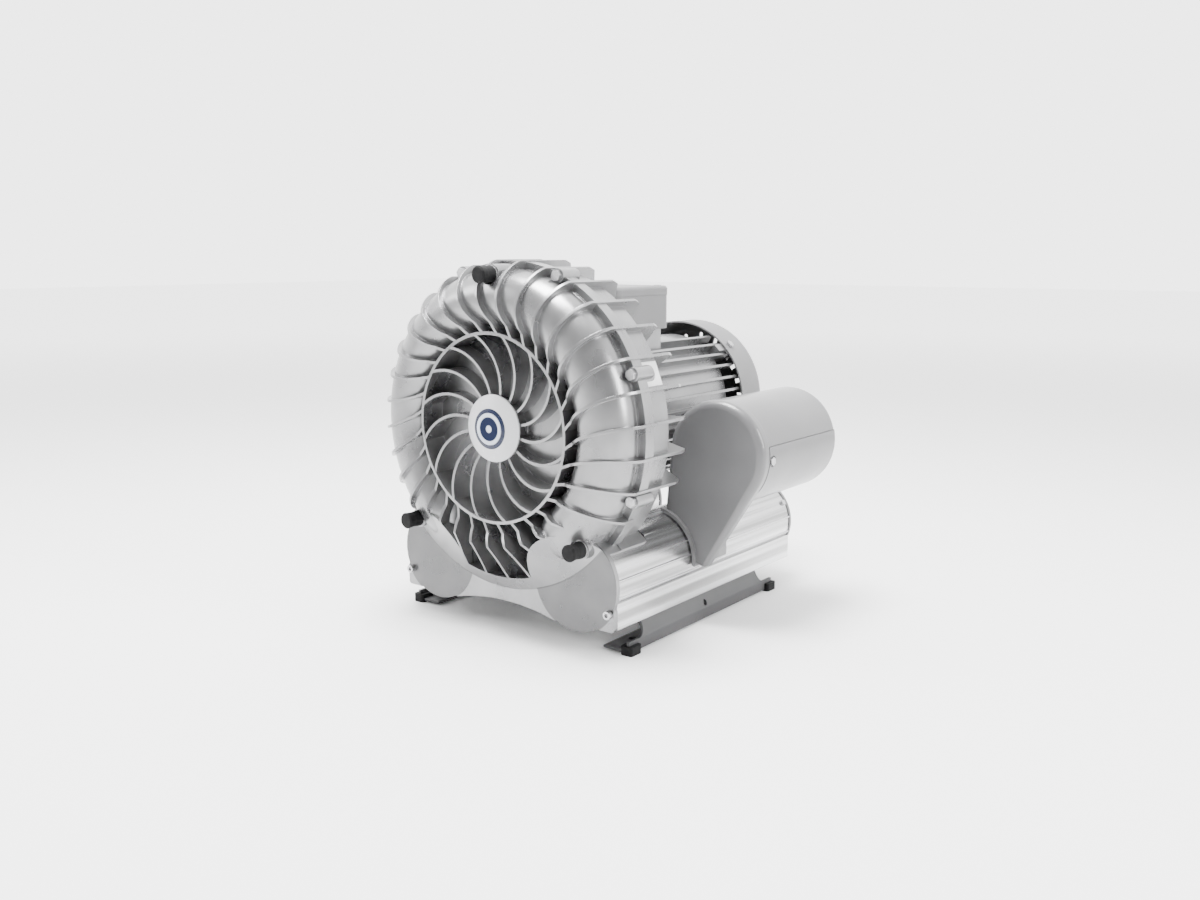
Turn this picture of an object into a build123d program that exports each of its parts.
from build123d import *
import os
from math import atan2, cos, degrees, radians, sin, sqrt

# Side channel blower with an absorption silencer on each port, an intake filter canister
# and a fan-cooled three-phase motor. Millimetres. +Z is up and +Y runs from the spiral-finned
# front cover to the fan cowl. The origin is the centre of the foot bolt pattern, on the
# underside of the foot brackets.

# Driving dimensions ------------------------------------------------------------------------
FOOT_RAIL_HEIGHT = 25.0         # underside of the silencers' foot rails, above the floor
PARTING_Y = -135.5              # joint face between cover and housing
CASTING_WALL = 4.0
FIT_CLEARANCE = 0.3             # between parts that slide together by hand
PRESS_CLEARANCE = 0.02          # between parts that are pressed together
RUNNING_CLEARANCE = 0.05        # between the shaft and what it turns in

# Side channel and impeller
CHANNEL_CENTRE_RADIUS = 128.0
CHANNEL_RADIUS = 26.0
IMPELLER_MID_BEHIND = 10.0      # impeller's middle plane, behind the parting plane
IMPELLER_RIM_WIDTH = 28.0
IMPELLER_TIP_CLEARANCE = 1.0
IMPELLER_WEB_WIDTH = 8.0
IMPELLER_HUB_RADIUS = 22.0
IMPELLER_HUB_LENGTH = 32.0
BLADE_COUNT = 36
BLADE_THICKNESS = 2.5
STRIPPER_ANGLE = 80.0           # stretch at the bottom where the channel is closed

# Front cover
FLANGE_RADIUS = 165.0
FLANGE_THICKNESS = 7.0
HUB_BOSS_RADIUS = 31.0
HUB_BOSS_AHEAD = 34.0
RING_RADIUS = 96.5
RING_WALL = 3.0
RING_AHEAD = 42.0
DISH_AHEAD_HUB = 22.0
DISH_AHEAD_RING = 14.0
FLOOR_AHEAD = 10.0
BULGE_AHEAD = 15.0              # channel centre, ahead of the parting plane
FIN_THICKNESS = 2.8
INNER_FIN_COUNT = 16
INNER_FIN_START = 12.0          # angle where the first inner fin meets the ring
INNER_FIN_SWEEP = 24.0
OUTER_FIN_COUNT = 32
OUTER_FIN_START = 4.5
OUTER_FIN_SWEEP = 11.5
FIN_TIP_RADIUS = 166.5
FIN_OVER_BULGE = 7.5            # how far the fin crests stand above the bulge, ahead
FIN_OVER_SHOULDER = 4.0         # the same, halfway out to the rim
OUTER_FIN_BEND_SHARE = 0.4      # share of a fin's length where its middle point lies
OUTER_FIN_CURL = 2.8            # how early an outer fin turns: 1 is an even sweep
INNER_FIN_CURL = 2.1            # how late an inner fin turns
FINS_ON_APRON = 48.0            # angle from straight down within which fins run onto the apron
RIBS_CLEAR_OF_TUBES = 63.0      # angle from straight down that the rear ribs leave free
CREST_KNEE = 9.0                # from the ring to the top of the fins' inner slope
CREST_SETBACK = 1.0             # fin crests' centre behind the channel's centre
LOBE_RADIUS = 50.0
LOBE_AHEAD = 24.0
RAMP_INNER_RADIUS = 118.0
RAMP_OUTER_RADIUS = 167.0
APRON_FIN_TIP_RADIUS = 157.0
WEB_BOTTOM_BELOW_TUBES = 36.0
WEB_ARCH_DIP = 9.0              # how much lower the web's ends are than its middle
COVER_BOLT_CIRCLE_RADIUS = 164.0
COVER_BOLT_ANGLES = (-21.0, 22.0, 67.0, 112.0, 157.0, 201.0)
COVER_BOLT_RADIUS = 3.0
COVER_BOSS_RADIUS = 7.0
COVER_BOSS_LIFT = 5.0           # bosses stand proud of the flange
COVER_BOLT_GRIP = 10.0           # how deep the cover bolts go into the housing
EAR_BOLT_RADIUS = 2.5
EAR_BOLT_LENGTH = 18.0
EAR_BOLT_INSET = 5.0            # from the foot rail's outer and upper sides
EAR_MARGIN = 1.0                # ears reach past the rails
EAR_CORNER = 4.0

# Housing behind the parting plane
DRUM_LENGTH = 50.0
REAR_CHANNEL_BEHIND = 20.0
MOTOR_SPIGOT_RADIUS = 95.0
MOTOR_SPIGOT_BEHIND = 86.0
MOTOR_SPIGOT_WALL = 15.0
FRONT_BEARING_BEHIND = 56.0
SEAL_RADIUS = 21.0
SEAL_WIDTH = 7.0
HUB_RECESS_BEHIND = 28.0
PORT_WINDOW_RADIUS = 18.0
REAR_RIB_KNEE_BEHIND = 63.0
REAR_RIB_THICKNESS = 3.0

# Hub cap and buffers
HUB_CAP_RADIUS = 34.0
HUB_CAP_RIM = 2.0
HUB_CAP_DOME = 10.0
HUB_CAP_GAP = 0.7               # between the boss and the cap's rim
HUB_CAP_LIP = 1.0               # cap's spigot is smaller than the boss
BADGE_RADIUS = 16.0
BADGE_RECESS = 1.0
BADGE_THICKNESS = 1.4
BUFFER_RADIUS = 8.5
BUFFER_LENGTH = 20.0
BUFFER_SEAT_AHEAD = 36.0
BUFFER_WASHER = 1.5
STUD_RADIUS = 4.0
STUD_DEPTH = 7.0
TOP_BUFFER_ABOVE_SHAFT = 152.0
LOW_BUFFER_PAST_TUBE = 16.5
LOW_BUFFER_ABOVE_TUBE = 38.0

# Silencers below the casing
TUBE_X = 93.5
TUBE_BELOW_SHAFT = 145.0
TUBE_RADIUS = 47.0
TUBE_WALL = 3.0
TUBE_LENGTH = 346.0
TUBE_FRONT_AHEAD = 18.0
RAIL_WIDTH = 22.0
RAIL_BELOW_TUBE = 42.0          # underside of the rail below the tube's centre
RAIL_REACH = 46.5               # outer side of the rail from the tube's centre
T_SLOT_MOUTH = 8.6
T_SLOT_HEAD = 15.0
T_SLOT_DEPTH = 11.0
LINER_WALL = 9.0
PORT_BORE_RADIUS = 24.0
PORT_BORE_LENGTH = 24.0
PORT_LENGTH = 26.0
END_PLATE = 6.0
END_SPIGOT = 12.0
END_SCREW_RADIUS = 2.0
END_SCREW_START = 30.0
LINER_SETBACK = 73.5            # lining's front end, behind the tube's front end
RIDGE_ANGLES = (52.0, 8.0, -14.0)
RIDGE_RADIUS = 1.2
HOOD_PORT_SETBACK = 34.5        # port's centre behind the hood's face
HOOD_PORT_ANGLE = 52.0

# Shaft and bearings
SHAFT_RADIUS = 12.5
SHAFT_SEAT_RADIUS = 12.0
SHAFT_SHOULDER_RADIUS = 17.0
SHAFT_AHEAD_OF_IMPELLER = 32.0  # shaft end from the impeller's middle plane
SHAFT_INSIDE_COWL = 8.5         # shaft end from the cowl's rear face
KEY_WIDTH = 8.0
NUT_WASHER = 2.0
BEARING_RADIUS = 26.0
BEARING_WIDTH = 15.0
REAR_BEARING_INSET = 4.0        # bearing's front face, ahead of the frame's end
GASKET_WIDTH = 2.0
GASKET_GROOVE = 1.5

# Motor
FRAME_RADIUS = 76.0
FRAME_RIB_RADIUS = 86.0
FRAME_RIB_COUNT = 36
FRAME_RIB_THICKNESS = 3.0
FRAME_LENGTH = 194.0
RIB_FINGER_LENGTH = 21.0
FRAME_WALL = 5.0
COWL_RADIUS = 91.0
COWL_SETBACK = 18.0             # cowl's front edge, behind the frame's end
COWL_LENGTH = 52.0
COWL_WALL = 2.0
STATOR_FRONT_SPACE = 44.5       # inside the frame, ahead of the core
STATOR_REAR_SPACE = 49.5        # inside the frame, behind the core
WINDING_OVERHANG = 26.0
ROTOR_RADIUS = 45.0
AIR_GAP = 0.5
FAN_RADIUS = 70.0
FAN_SETBACK = 32.0              # fan's front face, ahead of the cowl's rear face
FAN_BLADE_COUNT = 8
COWL_SCREW_INSET = 11.5         # screws behind the cowl's front edge
COWL_SCREW_RADIUS = 2.5
COWL_LUG_WIDTH = 10.0
COWL_SLOT_COUNT = 20
COWL_SLOT_WIDTH = 5.0

# Terminal box
BOX_WIDTH = 107.0
BOX_LENGTH = 105.0
BOX_SETBACK = 8.5               # box's front wall, behind the frame's front end
BOX_BOTTOM_ABOVE_SHAFT = 90.0
BOX_HEIGHT = 37.0
BOX_LID = 10.0
BOX_CORNER = 12.0
BOX_POST_INSET = 11.0           # screw posts' centres from the walls' outsides
BOX_WALL = 3.0
BOX_SADDLE_ANGLE = 28.0
WIRE_HOLE_RADIUS = 14.0
LID_SCREW_RADIUS = 2.5
GLAND_RADIUS = 12.0
BOARD_WIDTH = 60.0
BOARD_DEPTH = 34.0
BOARD_THICKNESS = 8.0
BOARD_SETBACK = 24.0            # from the middle of the box, clear of the wire hole
STUD_SPACING = 18.0
TERMINAL_STUD_RADIUS = 2.5
TERMINAL_STUD_LENGTH = 14.0

# Intake filter canister
FILTER_X = 165.0
FILTER_BELOW_SHAFT = 31.0
FILTER_RADIUS = 55.5
FILTER_SETBACK = 133.0          # hood's face behind the silencers' front ends
FILTER_LENGTH = 167.0
FILTER_WALL = 3.0
FILTER_REAR_ROUND = 8.0
SERVICE_SPLIT_SETBACK = 62.5    # service cover's front edge, behind the hood's face
SERVICE_SPLIT_ABOVE = 12.0
SERVICE_SIDE_PAST = 27.0        # cover's front tongue, outward from the canister's centre
SERVICE_COVER_PROUD = 1.0
SERVICE_SCREW_RADIUS = 2.5
SERVICE_SCREW_LENGTH = 10.0
SERVICE_SCREW_SETBACK = 20.0    # screw behind the hood's face
SERVICE_SCREW_BELOW = 3.0       # screw below the canister's centre
SERVICE_SPOT_RADIUS = 6.0
SERVICE_SPOT_DEPTH = 1.5
GRILLE_RADIUS = 42.0
HOOD_DEPTH = 14.0
HOOD_EDGE_ROUND = 8.0
HOOD_PROUD = 0.6                # hood's rim stands out from the canister
HOOD_TIP_PAST_TUBE = 57.5
HOOD_TIP_BELOW_TUBE = 7.0
HOOD_TIP_RADIUS = 6.0
HOOD_SIDE_RADIUS = 8.0
HOOD_SIDE_DROP = 40.0           # inner corner below the canister's centre
HOOD_FOOT_PAST_TUBE = 16.0
HOOD_FOOT_ABOVE_TUBE = 20.0
DUCT_TOP_RADIUS = 36.0
DUCT_TOP_INWARD = 12.0          # duct's upper end from the canister's centre
DUCT_TOP_DROP = 20.0
DUCT_LOW_RADIUS = 18.0
DUCT_LOW_PAST_TUBE = 28.0
DUCT_LOW_ABOVE_TUBE = 30.0
DUCT_MARGIN = 8.0               # duct's rear wall behind the port
DUCT_COLLAR = 5.0               # saddle on the silencer around the duct
DUCT_COLLAR_AHEAD = 4.0

# Foot brackets
SHEET = 3.0
FOOT_BOLT_INSET = 18.0          # bolt holes from the bracket's outer side
FOOT_BOLT_SPACING_Y = 220.0
FOOT_HOLE_RADIUS = 4.5
FOOT_LENGTH = 283.0
FOOT_WEB_LENGTH = 227.0
FOOT_LIP_REACH = 6.0            # bracket's outer side, past the rail
FOOT_LIP_HEIGHT = 11.0
FOOT_FLANGE_WIDTH = 30.0
PAD_LENGTH = 18.0
PAD_WIDTH = 14.0
PAD_HEIGHT = 9.0
PAD_BELOW = 2.0
T_BOLT_RADIUS = 4.0
T_BOLT_Y = 80.0
NUT_HEIGHT = 6.5

# Values worked out from the driving dimensions ----------------------------------------------
TUBE_Z = FOOT_RAIL_HEIGHT + RAIL_BELOW_TUBE
SHAFT_HEIGHT = TUBE_Z + TUBE_BELOW_SHAFT
BULGE_RADIUS = CHANNEL_RADIUS + CASTING_WALL
CHAMBER_RADIUS = CHANNEL_CENTRE_RADIUS + CHANNEL_RADIUS
DRUM_RADIUS = CHAMBER_RADIUS + CASTING_WALL
IMPELLER_RADIUS = CHAMBER_RADIUS - IMPELLER_TIP_CLEARANCE
IMPELLER_Y = PARTING_Y + IMPELLER_MID_BEHIND
RIM_SLOT_FRONT_Y = IMPELLER_Y - IMPELLER_RIM_WIDTH / 2 - IMPELLER_TIP_CLEARANCE
RIM_SLOT_REAR_Y = IMPELLER_Y + IMPELLER_RIM_WIDTH / 2 + IMPELLER_TIP_CLEARANCE
WEB_SLOT_REAR_Y = IMPELLER_Y + IMPELLER_WEB_WIDTH / 2 + 2 * IMPELLER_TIP_CLEARANCE
CREST_ROUND = BULGE_RADIUS + FIN_OVER_BULGE
CREST_CENTRE_RADIUS = FIN_TIP_RADIUS - CREST_ROUND
CREST_CENTRE_AHEAD = BULGE_AHEAD - CREST_SETBACK
CREST_AHEAD = CREST_CENTRE_AHEAD + CREST_ROUND
CHANNEL_SWEEP = 360.0 - STRIPPER_ANGLE
DRUM_REAR_Y = PARTING_Y + DRUM_LENGTH
SPIGOT_REAR_Y = PARTING_Y + MOTOR_SPIGOT_BEHIND
TUBE_BORE = TUBE_RADIUS - TUBE_WALL
TUBE_FRONT_Y = PARTING_Y - TUBE_FRONT_AHEAD
TUBE_REAR_Y = TUBE_FRONT_Y + TUBE_LENGTH
TUBE_COPE_RADIUS = FLANGE_RADIUS + 3 * FIT_CLEARANCE
SADDLE_BORE = TUBE_RADIUS + FIT_CLEARANCE
SADDLE_REACH = FLANGE_RADIUS + 2 * CASTING_WALL
RAIL_OUTER_X = TUBE_X + RAIL_REACH
RAIL_MIDDLE_X = RAIL_OUTER_X - RAIL_WIDTH / 2
LINER_START_Y = TUBE_FRONT_Y + LINER_SETBACK
FOOT_LIP_X = RAIL_OUTER_X + FOOT_LIP_REACH
FOOT_BOLT_X = FOOT_LIP_X - FOOT_BOLT_INSET
FRAME_FRONT_Y = SPIGOT_REAR_Y
FRAME_REAR_Y = FRAME_FRONT_Y + FRAME_LENGTH
STATOR_Y = FRAME_FRONT_Y + STATOR_FRONT_SPACE
STATOR_LENGTH = FRAME_LENGTH - STATOR_FRONT_SPACE - STATOR_REAR_SPACE
REAR_BEARING_Y = FRAME_REAR_Y - REAR_BEARING_INSET
COWL_FRONT_Y = FRAME_REAR_Y + COWL_SETBACK
COWL_REAR_Y = COWL_FRONT_Y + COWL_LENGTH
COWL_SCREW_Y = COWL_FRONT_Y + COWL_SCREW_INSET
SHAFT_FRONT_Y = IMPELLER_Y - SHAFT_AHEAD_OF_IMPELLER
SHAFT_REAR_Y = COWL_REAR_Y - SHAFT_INSIDE_COWL
BOX_FRONT_Y = FRAME_FRONT_Y + BOX_SETBACK
BOX_MIDDLE_Y = BOX_FRONT_Y + BOX_LENGTH / 2
BOX_BOTTOM_Z = SHAFT_HEIGHT + BOX_BOTTOM_ABOVE_SHAFT
FILTER_Z = SHAFT_HEIGHT - FILTER_BELOW_SHAFT
FILTER_FRONT_Y = TUBE_FRONT_Y + FILTER_SETBACK
FILTER_REAR_Y = FILTER_FRONT_Y + FILTER_LENGTH
HOOD_PORT_Y = FILTER_FRONT_Y + HOOD_PORT_SETBACK
SERVICE_SPLIT_Y = FILTER_FRONT_Y + SERVICE_SPLIT_SETBACK
SERVICE_SCREW_Y = FILTER_FRONT_Y + SERVICE_SCREW_SETBACK
SERVICE_SCREW_Z = FILTER_Z - SERVICE_SCREW_BELOW
DUCT_REAR_Y = HOOD_PORT_Y + PORT_WINDOW_RADIUS + DUCT_MARGIN
COVER_BOSS_Y = PARTING_Y - FLANGE_THICKNESS - COVER_BOSS_LIFT
FRONT_BEARING_Y = PARTING_Y + FRONT_BEARING_BEHIND
SEAL_Y = PARTING_Y + HUB_RECESS_BEHIND
HUB_CAP_CROWN = HUB_BOSS_AHEAD + HUB_CAP_GAP + HUB_CAP_DOME
SIDES = (-1, 1)
parts = {}


# Shape helpers ------------------------------------------------------------------------------
def front_plane(y, x=0.0, z=SHAFT_HEIGHT):
    """Sketch plane across the shaft: local x is +X and local y is +Z."""
    return Plane(origin=(x, y, z), x_dir=(1, 0, 0), z_dir=(0, -1, 0))


def ahead(distance):
    """Y of a plane in front of the parting plane."""
    return PARTING_Y - distance


def polar(radius, angle):
    return (radius * cos(radians(angle)), radius * sin(radians(angle)))


def rod(radius, y_start, y_end, x=0.0, z=SHAFT_HEIGHT):
    """Round bar along Y."""
    return extrude(front_plane(y_start, x, z) * Circle(radius), amount=y_start - y_end)


def tube(outer, inner, y_start, y_end, x=0.0, z=SHAFT_HEIGHT):
    ring = Circle(outer) - Circle(inner)
    return extrude(front_plane(y_start, x, z) * ring, amount=y_start - y_end)


def prism(face, y_start, y_end, x=0.0, z=SHAFT_HEIGHT):
    """Front-view face drawn out along Y."""
    return extrude(front_plane(y_start, x, z) * face, amount=y_start - y_end)


def block(x_low, x_high, y_low, y_high, z_low, z_high):
    size = (x_high - x_low, y_high - y_low, z_high - z_low)
    centre = ((x_low + x_high) / 2, (y_low + y_high) / 2, (z_low + z_high) / 2)
    return Pos(*centre) * Box(*size)


def turned(edges, x=0.0, z=SHAFT_HEIGHT, sweep=360.0, start=0.0):
    """Solid of revolution about a line along Y, from (radius, y) edges at the given angle."""
    face = make_face(Plane.XY * edges)
    solid = revolve(face, Axis.Y, sweep)
    return Pos(x, 0, z) * Rot(0, -start, 0) * solid


def turned_polygon(points, x=0.0, z=SHAFT_HEIGHT):
    return turned(Polyline(*points, close=True), x, z)


def turn_to(shape, angle, x=0.0, z=SHAFT_HEIGHT):
    """A shape drawn about the Y axis, turned from +X towards +Z and moved to its own axis."""
    return Pos(x, 0, z) * Rot(0, -angle, 0) * shape


def around(shape, count, start=0.0, x=0.0, z=SHAFT_HEIGHT):
    return [turn_to(shape, start + 360.0 * i / count, x, z) for i in range(count)]


def arc_strip(start, middle, end, thickness):
    """Face of even width that follows the arc through three points."""
    centre = ThreePointArc(start, middle, end).arc_center
    outer = []
    inner = []
    for point in (start, middle, end):
        spoke = Vector(*point) - centre
        outer.append(centre + spoke * ((spoke.length + thickness / 2) / spoke.length))
        inner.append(centre + spoke * ((spoke.length - thickness / 2) / spoke.length))
    edges = Curve() + [
        ThreePointArc(*outer),
        Line(outer[2], inner[2]),
        ThreePointArc(*inner),
        Line(inner[0], outer[0]),
    ]
    return make_face(edges)


def hexagon_screw(radius, head_height, length):
    """Hexagon screw along +Z with its head's seat at the origin."""
    head = extrude(RegularPolygon(radius * 1.85, 6), amount=head_height)
    shank = extrude(Circle(radius), amount=-length)
    return head + shank


def socket_screw(radius, length):
    """Socket-head screw along +Z with its head's seat at the origin."""
    head = extrude(Circle(radius * 1.65), amount=radius * 1.9)
    socket = Pos(0, 0, radius * 0.9) * extrude(RegularPolygon(radius * 0.9, 6), amount=radius)
    shank = extrude(Circle(radius), amount=-length)
    return head + shank - socket


def facing_front(shape, x, y, z):
    """Moves a piece drawn along +Z so that it points to the front at the given place."""
    return Pos(x, y, z) * Rot(90, 0, 0) * shape


# Front cover --------------------------------------------------------------------------------
def channel_ring(radius, y):
    """Swept channel form, rounded at both ends of its stretch."""
    start = -90.0 + STRIPPER_ANGLE / 2
    section = Pos(CHANNEL_CENTRE_RADIUS, y) * Circle(radius)
    ring = revolve(Plane.XY * section, Axis.Y, CHANNEL_SWEEP)
    body = Pos(0, 0, SHAFT_HEIGHT) * Rot(0, -(start + CHANNEL_SWEEP), 0) * ring
    for angle in (start, start + CHANNEL_SWEEP):
        x, z = polar(CHANNEL_CENTRE_RADIUS, angle)
        body += Pos(x, y, SHAFT_HEIGHT + z) * Sphere(radius)
    return body


def outer_fin_strip(index, tip_radius):
    pitch = 360.0 / OUTER_FIN_COUNT
    start = OUTER_FIN_START + pitch * index
    root = RING_RADIUS - RING_WALL / 2
    middle = root + OUTER_FIN_BEND_SHARE * (FIN_TIP_RADIUS - root)
    bend = OUTER_FIN_SWEEP * (1 - (1 - OUTER_FIN_BEND_SHARE) ** OUTER_FIN_CURL)
    strip = arc_strip(
        polar(root, start),
        polar(middle, start + bend),
        polar(FIN_TIP_RADIUS, start + OUTER_FIN_SWEEP),
        FIN_THICKNESS,
    )
    if tip_radius < FIN_TIP_RADIUS:
        strip = strip & Circle(tip_radius)
    return strip


def inner_fin_strip(index):
    pitch = 360.0 / INNER_FIN_COUNT
    end = INNER_FIN_START + pitch * index
    start = end - INNER_FIN_SWEEP
    root = HUB_BOSS_RADIUS - FIN_THICKNESS / 2
    tip = RING_RADIUS - RING_WALL / 2
    middle = (root + tip) / 2
    return arc_strip(
        polar(root, start),
        polar(middle, start + INNER_FIN_SWEEP * 0.5 ** INNER_FIN_CURL),
        polar(tip, end),
        FIN_THICKNESS,
    )


def fin_runs_onto_apron(index):
    start = OUTER_FIN_START + 360.0 / OUTER_FIN_COUNT * index
    return abs(from_bottom(start + OUTER_FIN_SWEEP / 2)) < FINS_ON_APRON


def crest_envelope():
    """Turned volume that the fin crests follow."""
    knee_radius = RING_RADIUS + CREST_KNEE
    rise = sqrt(CREST_ROUND**2 - (CREST_CENTRE_RADIUS - knee_radius) ** 2)
    knee = (knee_radius, ahead(CREST_CENTRE_AHEAD + rise))
    top = (CREST_CENTRE_RADIUS, ahead(CREST_AHEAD))
    shoulder_reach = (BULGE_RADIUS + FIN_OVER_SHOULDER) / sqrt(2)
    shoulder = (CHANNEL_CENTRE_RADIUS + shoulder_reach, ahead(BULGE_AHEAD + shoulder_reach))
    edges = Curve() + [
        Line((0, PARTING_Y), (0, ahead(HUB_BOSS_AHEAD))),
        Line((0, ahead(HUB_BOSS_AHEAD)), (HUB_BOSS_RADIUS, ahead(HUB_BOSS_AHEAD))),
        Line((HUB_BOSS_RADIUS, ahead(HUB_BOSS_AHEAD)), (RING_RADIUS, ahead(RING_AHEAD))),
        Line((RING_RADIUS, ahead(RING_AHEAD)), knee),
        Spline(knee, top, shoulder, (FIN_TIP_RADIUS, ahead(CREST_CENTRE_AHEAD))),
        Line((FIN_TIP_RADIUS, ahead(CREST_CENTRE_AHEAD)), (FIN_TIP_RADIUS, PARTING_Y)),
        Line((FIN_TIP_RADIUS, PARTING_Y), (0, PARTING_Y)),
    ]
    return turned(edges)


def ramp_envelope():
    """Turned volume under the apron's face: fin crest level inside, lobe level outside."""
    reach = TUBE_BELOW_SHAFT + TUBE_X + LOBE_RADIUS
    points = [
        (0, PARTING_Y),
        (0, ahead(CREST_AHEAD)),
        (RAMP_INNER_RADIUS, ahead(CREST_AHEAD)),
        (RAMP_OUTER_RADIUS, ahead(LOBE_AHEAD)),
        (reach, ahead(LOBE_AHEAD)),
        (reach, PARTING_Y),
    ]
    return turned_polygon(points)


def web_outline():
    """Front view of the web between the two lobes, outside the chamber."""
    side = TUBE_X - LOBE_RADIUS / 2
    high = -CHANNEL_CENTRE_RADIUS / 2
    low = -(TUBE_BELOW_SHAFT + WEB_BOTTOM_BELOW_TUBES)
    corner = low - WEB_ARCH_DIP
    edges = Curve() + [
        ThreePointArc((-side, corner), (0, low), (side, corner)),
        Line((side, corner), (side, high)),
        Line((side, high), (-side, high)),
        Line((-side, high), (-side, corner)),
    ]
    return make_face(edges) - Circle(CHAMBER_RADIUS)


def from_bottom(angle):
    """How far an angle lies from straight down, from -180 to 180 degrees."""
    return (angle + 90.0 + 180.0) % 360.0 - 180.0


def at_cover_bolts(shape):
    """Copies of a shape drawn on the bolt circle, between the fins and clear of the silencers."""
    return [turn_to(shape, angle) for angle in COVER_BOLT_ANGLES]


def cover_bolt_rod(radius, y_start, y_end):
    return at_cover_bolts(rod(radius, y_start, y_end, COVER_BOLT_CIRCLE_RADIUS, 0))


def front_cover():
    disc = turned_polygon([
        (0, PARTING_Y),
        (0, ahead(HUB_BOSS_AHEAD)),
        (HUB_BOSS_RADIUS, ahead(HUB_BOSS_AHEAD)),
        (HUB_BOSS_RADIUS + 1.0, ahead(DISH_AHEAD_HUB)),
        (RING_RADIUS - RING_WALL, ahead(DISH_AHEAD_RING)),
        (RING_RADIUS - RING_WALL, ahead(RING_AHEAD)),
        (RING_RADIUS, ahead(RING_AHEAD)),
        (RING_RADIUS, ahead(FLOOR_AHEAD)),
        (DRUM_RADIUS, ahead(FLOOR_AHEAD)),
        (DRUM_RADIUS, ahead(FLANGE_THICKNESS)),
        (FLANGE_RADIUS, ahead(FLANGE_THICKNESS)),
        (FLANGE_RADIUS, PARTING_Y),
    ])
    bulge = channel_ring(BULGE_RADIUS, ahead(BULGE_AHEAD))
    bulge -= rod(FLANGE_RADIUS, PARTING_Y, PARTING_Y + BULGE_RADIUS)

    fins = Sketch() + [inner_fin_strip(i) for i in range(INNER_FIN_COUNT)]
    fins += [outer_fin_strip(i, FIN_TIP_RADIUS) for i in range(OUTER_FIN_COUNT) if not fin_runs_onto_apron(i)]
    front = ahead(CREST_AHEAD + CASTING_WALL)
    fin_walls = prism(fins, front, PARTING_Y) & crest_envelope()

    low_fins = Sketch() + [
        outer_fin_strip(i, APRON_FIN_TIP_RADIUS) for i in range(OUTER_FIN_COUNT) if fin_runs_onto_apron(i)
    ]
    low_walls = prism(low_fins, front, PARTING_Y) & crest_envelope() & ramp_envelope()

    apron = prism(web_outline(), front, ahead(TUBE_FRONT_AHEAD))
    for side in SIDES:
        apron += rod(LOBE_RADIUS, front, ahead(TUBE_FRONT_AHEAD), side * TUBE_X, TUBE_Z)
        apron += corner_ear(side, ahead(LOBE_AHEAD), ahead(TUBE_FRONT_AHEAD))
    apron &= ramp_envelope()

    skirt = [
        tube(LOBE_RADIUS, SADDLE_BORE, ahead(TUBE_FRONT_AHEAD), PARTING_Y, side * TUBE_X, TUBE_Z)
        & rod(SADDLE_REACH, ahead(TUBE_FRONT_AHEAD), PARTING_Y)
        for side in SIDES
    ]
    spigots = [
        tube(TUBE_BORE - FIT_CLEARANCE, TUBE_BORE - FIT_CLEARANCE - CASTING_WALL,
             ahead(TUBE_FRONT_AHEAD), ahead(FLANGE_THICKNESS), side * TUBE_X, TUBE_Z)
        for side in SIDES
    ]
    seats = [
        rod(BUFFER_RADIUS + BUFFER_WASHER, ahead(BUFFER_SEAT_AHEAD), ahead(FLOOR_AHEAD), x, z)
        for x, z in buffer_places()
    ]
    bosses = cover_bolt_rod(COVER_BOSS_RADIUS, COVER_BOSS_Y, PARTING_Y)
    body = disc + bulge + fin_walls + low_walls + apron + skirt + spigots + seats + bosses

    cavity = turned_polygon([
        (0, PARTING_Y),
        (0, ahead(HUB_BOSS_AHEAD - CASTING_WALL)),
        (HUB_BOSS_RADIUS - CASTING_WALL - 3, ahead(HUB_BOSS_AHEAD - CASTING_WALL)),
        (HUB_BOSS_RADIUS - CASTING_WALL - 3, ahead(DISH_AHEAD_HUB - CASTING_WALL)),
        (HUB_BOSS_RADIUS + CASTING_WALL, ahead(DISH_AHEAD_HUB - CASTING_WALL - 1)),
        (RING_RADIUS - RING_WALL, ahead(DISH_AHEAD_RING - CASTING_WALL - 1)),
        (RING_RADIUS, RIM_SLOT_FRONT_Y),
        (CHAMBER_RADIUS, RIM_SLOT_FRONT_Y),
        (CHAMBER_RADIUS, PARTING_Y),
    ])
    cavity += channel_ring(CHANNEL_RADIUS, ahead(BULGE_AHEAD))
    body -= cavity
    body -= cover_bolt_rod(COVER_BOLT_RADIUS + FIT_CLEARANCE, ahead(TUBE_FRONT_AHEAD), PARTING_Y)
    body -= ear_bolt_holes(ahead(LOBE_AHEAD), ahead(TUBE_FRONT_AHEAD), EAR_BOLT_RADIUS + FIT_CLEARANCE)
    body -= cover_bolt_rod(COVER_BOSS_RADIUS, front, COVER_BOSS_Y)
    body -= [
        rod(BUFFER_RADIUS + BUFFER_WASHER, front, ahead(BUFFER_SEAT_AHEAD), x, z)
        for x, z in buffer_places()
    ]
    body -= [rod(STUD_RADIUS, ahead(BUFFER_SEAT_AHEAD), ahead(BUFFER_SEAT_AHEAD - STUD_DEPTH), x, z)
             for x, z in buffer_places()]
    return body


def corner_ear(side, y_start, y_end):
    """Ear at a lobe's lower outer corner, over the end of the tube's foot rail."""
    size = RAIL_WIDTH + 2 * EAR_MARGIN
    z = FOOT_RAIL_HEIGHT + RAIL_WIDTH / 2
    return prism(RectangleRounded(size, size, EAR_CORNER), y_start, y_end, side * RAIL_MIDDLE_X, z)


def ear_bolt_places():
    x = RAIL_OUTER_X - EAR_BOLT_INSET
    z = FOOT_RAIL_HEIGHT + RAIL_WIDTH - EAR_BOLT_INSET
    return [(side * x, z) for side in SIDES]


def ear_bolt_holes(y_start, y_end, radius):
    return [rod(radius, y_start, y_end, x, z) for x, z in ear_bolt_places()]


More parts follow.
